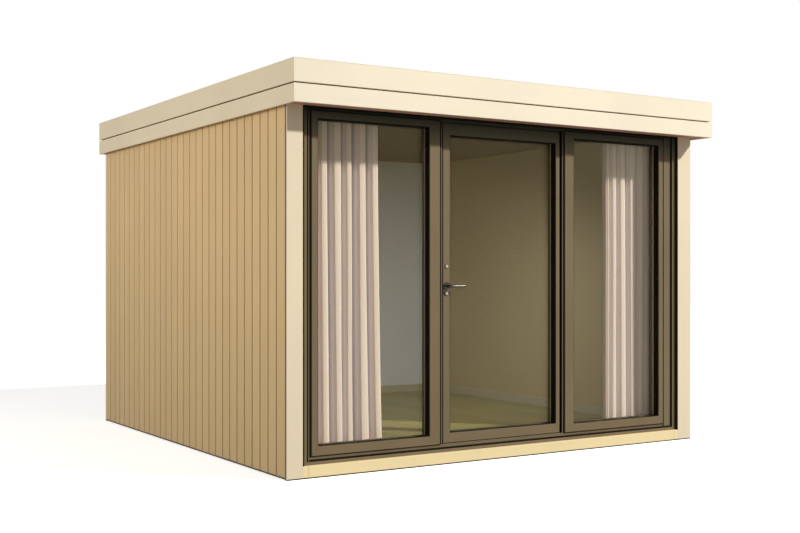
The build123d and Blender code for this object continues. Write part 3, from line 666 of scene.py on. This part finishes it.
trim_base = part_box("front_fascia")[1].z
upstand_foot = sheet_low.z + SHEET_THICKNESS
whole = (sheet_low.x, sheet_high.x)
between = (sheet_low.y + UPSTAND, sheet_high.y - UPSTAND)
upstands = bmesh.new()
for xs, ys in (
        (whole, (sheet_low.y, sheet_low.y + UPSTAND)), (whole, (sheet_high.y - UPSTAND, sheet_high.y)),
        ((sheet_low.x, sheet_low.x + UPSTAND), between), ((sheet_high.x - UPSTAND, sheet_high.x), between)):
    add_box(upstands, (xs[0], ys[0], upstand_foot), (xs[1], ys[1], trim_base))
piece_from("roof_upstands", upstands, (roof_rubber,), "shell")
print("upstand at the back", round(trim_base - upstand_foot, 3), "m high")

# %% [markdown]
# ## Glass
# Each opening holds a sealed unit: two thin panes with a pale metal spacer bar between them. One thick
# block of glass would bend the room behind it and hide the two faint edges that a real unit shows, so both
# panes and the bar are made. Lamps pass through the panes unbent, which keeps the room's light clean. The
# gloss is kept weak and tinted warm, as a painted reflection of a garden in place of the white studio.

# %% Glass finish
def glass(name, tint, gloss):
    """Clear glass that lamps shine through."""
    sockets = {"Roughness": 0.0, "Transmission Weight": 1.0, "IOR": 1.45}
    sockets.update({"Base Color": tint, "Specular Tint": gloss})
    finish, tree, shader, place = new_finish(name, sockets)
    clear = add_node(tree, "BsdfTransparent", {"Color": tint})
    path = add_node(tree, "LightPath")
    lighting = add_node(tree, "Math", {0: path.outputs["Is Shadow Ray"], 1: path.outputs["Is Diffuse Ray"]},
                        operation="MAXIMUM")
    both = add_node(tree, "MixShader", {0: lighting.outputs[0], 1: shader.outputs[0], 2: clear.outputs[0]})
    output = next(n for n in tree.nodes if n.type == "OUTPUT_MATERIAL")
    tree.links.new(both.outputs[0], output.inputs["Surface"])
    return finish


# the warm gloss tint is a painted reflection of a garden
window_glass = glass("window_glass", tint=(0.985, 0.985, 0.965, 1), gloss=(0.26, 0.18, 0.04, 1))
print("glass finish ready:", window_glass.name)

# %% [markdown]
# ## Panes and spacer bars
# The CAD model has one solid for each sealed unit, and the panes take their size and place from it. The
# side lights share a node, so its solids are first told apart. The bar is a ring round the edge, and most
# of it is hidden by the frame, as on a real unit.

# %% Sealed units in the side lights and the door
PANE = 0.004
SPACER_WIDTH = 0.0115
SAME_PLACE = 1e-6  # corners nearer than this are one corner


def add_ring(bm, low, high, width):
    """A rectangular bar ring standing in the XZ plane."""
    add_box(bm, low, (low[0] + width, high[1], high[2]))
    add_box(bm, (high[0] - width, low[1], low[2]), high)
    add_box(bm, (low[0] + width, low[1], low[2]), (high[0] - width, high[1], low[2] + width))
    add_box(bm, (low[0] + width, low[1], high[2] - width), (high[0] - width, high[1], high[2]))


def solid_boxes(node):
    """The low and high corners of each separate solid of a CAD node."""
    bm = bmesh.new()
    bm.from_mesh(nodes[node].data)
    bmesh.ops.remove_doubles(bm, verts=bm.verts, dist=SAME_PLACE)
    left = set(bm.verts)
    found = []
    while left:
        island, edge = set(), {left.pop()}
        while edge:
            vert = edge.pop()
            island.add(vert)
            edge |= {e.other_vert(vert) for e in vert.link_edges} - island
        left -= island
        by_axis = list(zip(*(vert.co for vert in island)))
        found.append(([min(values) for values in by_axis], [max(values) for values in by_axis]))
    bm.free()
    return sorted(found)


def sealed_units(name, node, body):
    """Two panes and a spacer bar for each solid of the CAD glass."""
    panes, bars = bmesh.new(), bmesh.new()
    for low, high in solid_boxes(node):
        add_box(panes, low, (high[0], low[1] + PANE, high[2]))
        add_box(panes, (low[0], high[1] - PANE, low[2]), high)
        add_ring(bars, (low[0], low[1] + PANE, low[2]), (high[0], high[1] - PANE, high[2]), SPACER_WIDTH)
    panes = piece_from(f"{name}_panes", panes, (window_glass,), body)
    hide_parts(node)
    piece_from(f"{name}_spacers", bars, (spacer_metal,), body)
    return panes


sealed_units("side_light", "side_light_glass", "shell")
door_panes = sealed_units("door", "door_glass", "door")
print("door panes", [round(c, 3) for c in door_panes.dimensions])

# %% [markdown]
# ## Black seals
# Every place where two parts of the glazed set meet has a strip of black rubber, and those strips draw the
# dark lines between the bronze faces. Part of that black is real rubber and part is painted shade, put where
# the gaps and reveals fall into shade. Each is a real strip, a few millimetres wide, because a line painted
# on the metal would vanish from the side. One small helper makes them all, from an edge and a way to stand
# out.

# %% Helpers for rubber strips
SEAL = 0.002
FACE_RELIEF = 0.0015  # seals stop short of the faces beside them


def seal(bm, edge, way, depths, span, width=SEAL, level=False):
    """A strip along a span, standing out from its edge by its width, upright or level."""
    across = sorted((edge, edge + way * width))
    xs, zs = (span, across) if level else (across, span)
    add_box(bm, (xs[0], depths[0], zs[0]), (xs[1], depths[1], zs[1]))


sill_low, sill_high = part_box("front_sill")
threshold_low, threshold_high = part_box("frame_threshold")
mullion_low, mullion_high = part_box("mullions")
door_low, door_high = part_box("door_frame")
board_low, board_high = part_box("front_corner_boards")
strip_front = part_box("frame_left_jamb")[0].y
band_front = mullion_low.y
cover_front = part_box("frame_cover_strip")[0].y
print("outer strip", round(strip_front - front, 3), "and inner band", round(band_front - front, 3), "m back")

# %% [markdown]
# ## Seals of the fixed frame and the side lights
# These black strips line the edges of the corner boards, the outer strip of the fixed frame, the flanges of
# the side lights and the door stops, partly as rubber and partly as painted shade in those gaps. They are
# joined in one piece that rides on the shell. The last strip is a dark sheet under the foot of the corner
# boards, as painted shade along the foot.

# %% Rubber strips round the frame and the side lights
# the beads are black strips, partly rubber and partly painted shade in the gaps beside them
CORNER_BEAD = 0.010  # widths of the beads: at the corner boards,
STRIP_BEAD = 0.0095  # beside the outer strip of the fixed frame,
FRAME_BEAD = 0.010  # beside the side lights
FOOT_BEAD = 0.012  # and above the foot of the outer strip
STRIP_HEIGHT = 0.020  # outer strip above the sill
STOP_LAP = 0.013  # door edge behind the stop
STOP_DEPTH = 0.014
STOP_BEAD = 0.005
SHADE_STRIP_THICKNESS = 0.0012  # thickness and height of the painted-shade strip under the corner boards
FOOT_SHADE_HEIGHT = 0.007

seals_and_shade = bmesh.new()
corner_depths = (front + FACE_RELIEF, strip_front)
seal_heights = (sill_high.z, soffit_low.z)
between_corners = (sill_low.x + CORNER_BEAD, sill_high.x - CORNER_BEAD)
seal(seals_and_shade, sill_low.x, 1, corner_depths, seal_heights, CORNER_BEAD)
seal(seals_and_shade, sill_high.x, -1, corner_depths, seal_heights, CORNER_BEAD)
seal(seals_and_shade, soffit_low.z, -1, corner_depths, between_corners, FOOT_BEAD, level=True)

cover_depths = (strip_front + FACE_RELIEF, cover_front)
band_depths = (strip_front + FACE_RELIEF, band_front)
strip_heights = (sill_high.z + STRIP_HEIGHT, soffit_low.z)
between_strips = (threshold_low.x + STRIP_BEAD, threshold_high.x - FRAME_BEAD)
seal(seals_and_shade, threshold_low.x, 1, band_depths, strip_heights, STRIP_BEAD)
seal(seals_and_shade, threshold_high.x, -1, cover_depths, strip_heights, FRAME_BEAD)
seal(seals_and_shade, strip_heights[0], 1, cover_depths, between_strips, FOOT_BEAD, level=True)

for name, right_bead in (("left_light_frame", FRAME_BEAD), ("right_light_frame", SEAL)):
    light_low, light_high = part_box(name)
    flange = (light_low.y + FACE_RELIEF, band_front)
    sides = (light_low.z, light_high.z)
    seal(seals_and_shade, light_low.x, -1, flange, sides, FRAME_BEAD)
    seal(seals_and_shade, light_high.x, 1, flange, sides, right_bead)
    seal(seals_and_shade, light_low.z, -1, flange, (light_low.x, light_high.x), SEAL / 2, level=True)
    seal(seals_and_shade, light_high.z, 1, flange, (light_low.x, light_high.x), 2 * SEAL, level=True)

stop_depths = (band_front + FACE_RELIEF, band_front + STOP_DEPTH - FACE_RELIEF)
stop_heights = (mullion_low.z, mullion_high.z)
seal(seals_and_shade, door_low.x + STOP_LAP, 1, stop_depths, stop_heights, STOP_BEAD)
seal(seals_and_shade, door_high.x - STOP_LAP, -1, stop_depths, stop_heights)
# painted shade: a dark sheet along the foot of the corner boards
foot_shade_depths = (front - SHADE_STRIP_THICKNESS, front)
seal(seals_and_shade, board_low.z + FOOT_SHADE_HEIGHT, -1, foot_shade_depths, (board_low.x, board_high.x), FOOT_SHADE_HEIGHT, level=True)
frame_seals_and_shade = piece_from("frame_seals_and_shade", seals_and_shade, (seal_rubber,), "shell")
print("frame seals", [round(c, 3) for c in frame_seals_and_shade.dimensions])

# %% [markdown]
# ## The lip of the frame
# Between the two black lines at the left of the frame stands a thin lip of the same bronze extrusion. It
# could be a step in the jamb, but a strip of its own lies exactly between the rubber lines.

# %% Bronze lip
LIP = 0.0045

lip = bmesh.new()
seal(lip, between_strips[0], 1, (strip_front, band_front), strip_heights, LIP)
frame_lip = piece_from("frame_lip", lip, (bronze,), "shell")
print("lip", round(frame_lip.dimensions.z, 3), "m high")

# %% [markdown]
# ## The seal round the door
# The door closes against a strip in the step round its face. The strip rides on the door and swings with
# it. Behind the step the rebate is lined with the same black rubber, as painted shade, so that no bright
# metal shows in the gap.

# %% Rubber round the door
DOOR_STEP = 0.012  # depth of the step round the door's face
DOOR_SIDE_STEP = 0.028  # door edge to the side of its face
DOOR_FOOT_STEP = 0.018
DOOR_HEAD_STEP = 0.023
LOCK_BEAD = 0.0035  # extra width of black beside the lock, as painted shade in the gap

door_seals_and_shade = bmesh.new()
face_xs = (door_low.x + DOOR_SIDE_STEP, door_high.x - DOOR_SIDE_STEP)
face_zs = (door_low.z + DOOR_FOOT_STEP, door_high.z - DOOR_HEAD_STEP)
step_depths = (door_low.y + FACE_RELIEF, door_low.y + DOOR_STEP)
rebate_depths = (door_low.y + DOOR_STEP - FACE_RELIEF, door_low.y + DOOR_STEP)
rebate_heights = (door_low.z + SEAL, door_high.z - SEAL)
lock_edge, hinge_edge = face_xs[0] - SEAL, face_xs[1] + SEAL
add_ring(door_seals_and_shade, (lock_edge, step_depths[0], face_zs[0] - SEAL),
         (hinge_edge, step_depths[1], face_zs[1] + SEAL), SEAL)
seal(door_seals_and_shade, lock_edge, -1, step_depths, face_zs, LOCK_BEAD)
# painted shade: the rebate behind the step is lined in black
for edge, outwards in ((lock_edge, -1), (hinge_edge, 1)):
    seal(door_seals_and_shade, edge, outwards, rebate_depths, rebate_heights, DOOR_SIDE_STEP - 2 * SEAL)
door_seal_and_shade = piece_from("door_seal_and_shade", door_seals_and_shade, (seal_rubber,), "door")
print("door seal", [round(c, 3) for c in door_seal_and_shade.dimensions])

# %% [markdown]
# ## The beads of the walls
# Where the boards meet each front corner board, and along the foot of the walls, thin strips in the dark
# colour of the joints stand as painted shade of the joint and of the foot.

# %% Dark beads
CORNER_GAP = 0.011  # bead between a corner board and the first wall board
FOOT_STRIP = 0.010

# painted shade: dark strips at the corner joints and along the foot of the walls
shade_beads = bmesh.new()
foot = (side_low.z, side_low.z + FOOT_STRIP)
corner_joint = (board_high.y - CORNER_GAP, board_high.y)
for x, outwards in ((side_low.x, -1), (side_high.x, 1)):
    seal(shade_beads, x, outwards, corner_joint, (board_low.z, board_high.z), SHADE_STRIP_THICKNESS)
    seal(shade_beads, x, outwards, (board_high.y, side_high.y), foot, SHADE_STRIP_THICKNESS)
add_box(shade_beads, (rear_low.x, rear_high.y, foot[0]), (rear_high.x, rear_high.y + SHADE_STRIP_THICKNESS, foot[1]))
wall_shade_beads = piece_from("wall_shade_beads", shade_beads, (joint_shade_and_dust,), "shell")
print("shade_beads", len(wall_shade_beads.data.polygons), "faces")

# %% [markdown]
# ## Lock plugs
# Each of the two locks shows a round plug of bright metal with an upright keyway. The plug is a 32-sided
# disc that stands just proud of its escutcheon, and the keyway is a thin black plate on it, as painted shade
# for a slot this narrow, which reads as a dark line. The plugs ride on the door.

# %% Plugs and keyways
PLUG_RADIUS = 0.0105
PLUG_RELIEF = 0.0012
PLUG_SIDES = 32
KEYWAY_SHADE_PLATE = (0.0014, 0.0003, 0.007)
ROSE_TO_ESCUTCHEON = 0.003
LOCK_INSETS = (0.021, -0.015)  # lower and upper lock, from the ends of the door furniture

furniture_low, furniture_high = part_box("door_furniture")
plug_x = (furniture_low.x + furniture_high.x) / 2
plug_back = furniture_low.y + ROSE_TO_ESCUTCHEON
plug_front = plug_back - PLUG_RELIEF
plugs = bmesh.new()
for plug_z in (furniture_low.z + LOCK_INSETS[0], furniture_high.z + LOCK_INSETS[1]):
    turns = [2 * math.pi * i / PLUG_SIDES for i in range(PLUG_SIDES)]
    rim = [(plug_x + PLUG_RADIUS * math.cos(a), plug_z + PLUG_RADIUS * math.sin(a)) for a in turns]
    add_prism(plugs, rim, plug_front, plug_back, lambda u, v, w: (u, w, v))
    metal_faces = len(plugs.faces)
    # painted shade: a black plate for the dark keyway slot
    add_box(plugs, (plug_x - KEYWAY_SHADE_PLATE[0] / 2, plug_front - KEYWAY_SHADE_PLATE[1], plug_z - KEYWAY_SHADE_PLATE[2] / 2),
            (plug_x + KEYWAY_SHADE_PLATE[0] / 2, plug_front, plug_z + KEYWAY_SHADE_PLATE[2] / 2))
    plugs.faces.ensure_lookup_table()
    for face in plugs.faces[metal_faces:]:
        face.material_index = 1
lock_plugs = piece_from("lock_plugs", plugs, (plug_metal, seal_rubber), "door")
print("lock plugs", len(lock_plugs.data.polygons), "faces")

# %% [markdown]
# ## Curtain cloth
# The curtains are plain woven cloth in a warm off-white. Two sets of fine sine waves crossed give the
# weave, stretched noise gives the slubs, and a little sheen gives the bloom on the edges of the folds. Deep
# in the folds the cloth is painted a cooler, darker colour, as painted shade for the folds.
# How deep each point lies is stored on the cloth when it is hung.

# %% Cloth finish
THREADS = 2600.0  # radians of weave for each metre
FOLD_SHADE_TINT_FROM = (0.1, 0.7)  # depths in a fold between which the cooler colour of painted shade takes over,
PAINTED_FOLD_SHADE_FROM = (0.55, 0.95)  # and between which the painted shade darkens it
PAINTED_FOLD_SHADE = 0.5


def cloth(name, colour, inner):
    """Plain woven cloth: two sets of threads, faint slubs, a soft bloom at the edges of the folds and painted
    shade deep in them.
    """
    finish, tree, shader, place = new_finish(
        name, {"Roughness": 0.85, "Sheen Weight": 0.25, "Sheen Roughness": 0.5})
    axes = add_node(tree, "SeparateXYZ", {0: place})
    threads = []
    for axis in (0, 2):
        scaled = times(tree, axes.outputs[axis], THREADS)
        threads.append(add_node(tree, "Math", {0: scaled}, operation="SINE").outputs[0])
    weave = times(tree, *threads)
    slubs = noise(tree, place, (40, 40, 900), detail=2.0)
    body = mixed(tree, slubs, (0.4, 0.7), colour, dimmed(colour, 0.93))
    # painted shade: cooler and darker colour deep in the folds
    depth = add_node(tree, "Attribute", attribute_name="fold_depth").outputs["Fac"]
    body = mixed(tree, depth, FOLD_SHADE_TINT_FROM, body, inner)
    body = shaded(tree, body, ranged(tree, depth, *PAINTED_FOLD_SHADE_FROM, 1.0, PAINTED_FOLD_SHADE))
    dressed(tree, shader, body, weave, 0.00025, 0.3)
    return finish


# the inner colour is the cooler tone of painted shade deep in the folds
curtain_cloth = cloth("curtain_cloth", colour=paint(244, 225, 216), inner=paint(238, 230, 238))
print("cloth finish ready:", curtain_cloth.name)

# %% [markdown]
# ## The shape of a fold
# A wave curtain hangs in even S folds from gliders in the track. Seen from the garden, each fold is a broad
# crest that turns back sharply at one edge and eases into the next hollow at the other. The section of one
# fold is drawn with a dozen points and a smooth curve through them, and the points at its ends match, so
# that folds of different widths join without a kink.

# %% One fold of the cloth
FOLD_CORNERS = ((0.0, 0.90), (0.03, 0.45), (0.05, -0.5), (0.08, -0.97), (0.16, -1.0), (0.27, -0.98),
                (0.33, -0.80), (0.46, 0.02), (0.58, 0.74), (0.61, 0.86), (0.75, 0.97), (0.90, 1.0),
                (1.0, 0.90))


def smooth(before, first, second, after, part):
    """A value on the smooth curve through four, a part of the way from the first to the second."""
    bend = 2 * before - 5 * first + 4 * second - after
    twist = 3 * (first - second) + after - before
    return first + 0.5 * part * (second - before + part * (bend + part * twist))


def fold_shape(inner):
    """A point of one fold, from edge to edge: how far along it the cloth is, and how far forward, -1 to 1."""
    corners = FOLD_CORNERS
    spot = inner * (len(corners) - 1)
    start = min(int(spot), len(corners) - 2)
    before = corners[start - 1] if start else (corners[-2][0] - 1, corners[-2][1])
    after = corners[start + 2] if start + 2 < len(corners) else (corners[1][0] + 1, corners[1][1])
    around = zip(before, corners[start], corners[start + 1], after)
    return [smooth(*values, spot - start) for values in around]


print("halfway along a fold the cloth is at", [round(c, 2) for c in fold_shape(0.5)])

# %% [markdown]
# ## Hanging the curtains
# A flat block with a striped finish would show no light and shade between the folds, so the cloth is one
# thin sheet bent into real folds. The gliders hold its heading tidy, and from there the folds deepen, drift
# a little and differ a little from each other as they fall. The width of the flat cloth is the length along
# the folds.

# %% Hang both curtains
CLOTH_THICKNESS = 0.0014
SIDE_PLAY = 0.002  # between the cloth and the ends of its space
FRONT_PLAY = 0.001
FOLD_STEPS = 36  # points along each fold
DROP_STEPS = 44  # points from the heading to the hem
HEADING_DEPTH = 0.82  # depth of the folds at the heading, as a share of their depth lower down
DEEPENING = 2.2  # the folds have their full depth after 1 / 2.2 of the drop
UNEVENNESS = 0.16  # how much shallower the shallowest fold is
DRIFT = 0.004  # sideways lean of the folds
DEPTH_WAVES = (2.0, 2.3)  # how fast depth and lean change, in radians down the whole drop
DRIFT_WAVES = (3.1, 1.7)  # and from one fold to the next


def hang_curtain(name, node, crests, taper=0.0):
    """A wave curtain in the space of a CAD node, whose fold crests stand at the given shares of its width.

    The taper is how much narrower the curtain is drawn in at the heading, as a share of its width."""
    low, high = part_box(node)
    width, height = high.x - low.x, high.z - low.z
    depth = (high.y - low.y) / 2 - CLOTH_THICKNESS - FRONT_PLAY
    middle = (low.y + high.y) / 2
    knots = [0.0] + list(crests) + [1.0]
    columns = (len(knots) - 1) * FOLD_STEPS
    bm = bmesh.new()
    fold_depth = bm.verts.layers.float.new("fold_depth")
    grid = []
    for row in range(DROP_STEPS + 1):
        fall = row / DROP_STEPS
        swell = HEADING_DEPTH + (1.0 - HEADING_DEPTH) * min(1.0, fall * DEEPENING)
        drawn = 1.0 - taper * (1.0 - fall ** 2)
        line = []
        for column in range(columns + 1):
            part = column / FOLD_STEPS
            index = min(int(part), len(knots) - 2)
            across, outward = fold_shape(part - index)
            along = knots[index] + (knots[index + 1] - knots[index]) * across
            drift_wave = math.sin(DRIFT_WAVES[0] * fall + DRIFT_WAVES[1] * index)
            depth_wave = math.sin(DEPTH_WAVES[0] * fall + DEPTH_WAVES[1] * index)
            drift = DRIFT * drift_wave * math.sin(math.pi * along)
            deep = 1.0 - UNEVENNESS * depth_wave ** 2
            x = low.x + SIDE_PLAY + (width - 2 * SIDE_PLAY) * along * drawn + drift
            y = middle - depth * swell * deep * outward
            line.append(bm.verts.new((min(max(x, low.x), high.x), y, high.z - height * fall)))
            line[-1][fold_depth] = 0.5 - 0.5 * outward
        grid.append(line)
    for upper, lower in zip(grid, grid[1:]):
        for column in range(columns):
            corners = (upper[column], upper[column + 1], lower[column + 1], lower[column])
            bm.faces.new(corners).smooth = True
    halfway = grid[DROP_STEPS // 2]
    flat_width = sum((a.co - b.co).length for a, b in zip(halfway, halfway[1:]))
    made = piece_from(name, bm, (curtain_cloth,), "shell")
    thicken = made.modifiers.new("thickness", "SOLIDIFY")
    thicken.thickness = CLOTH_THICKNESS
    thicken.offset = 0
    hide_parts(node)
    print(f"{name}: {flat_width:.3f} m along the folds over {width:.3f} m, {height:.3f} m long")


hang_curtain("left_drape", "left_curtain", crests=(0.05, 0.21, 0.36, 0.52, 0.655, 0.84),
             taper=0.045)
hang_curtain("right_drape", "right_curtain", crests=(0.05, 0.185, 0.365, 0.55, 0.70, 0.84))
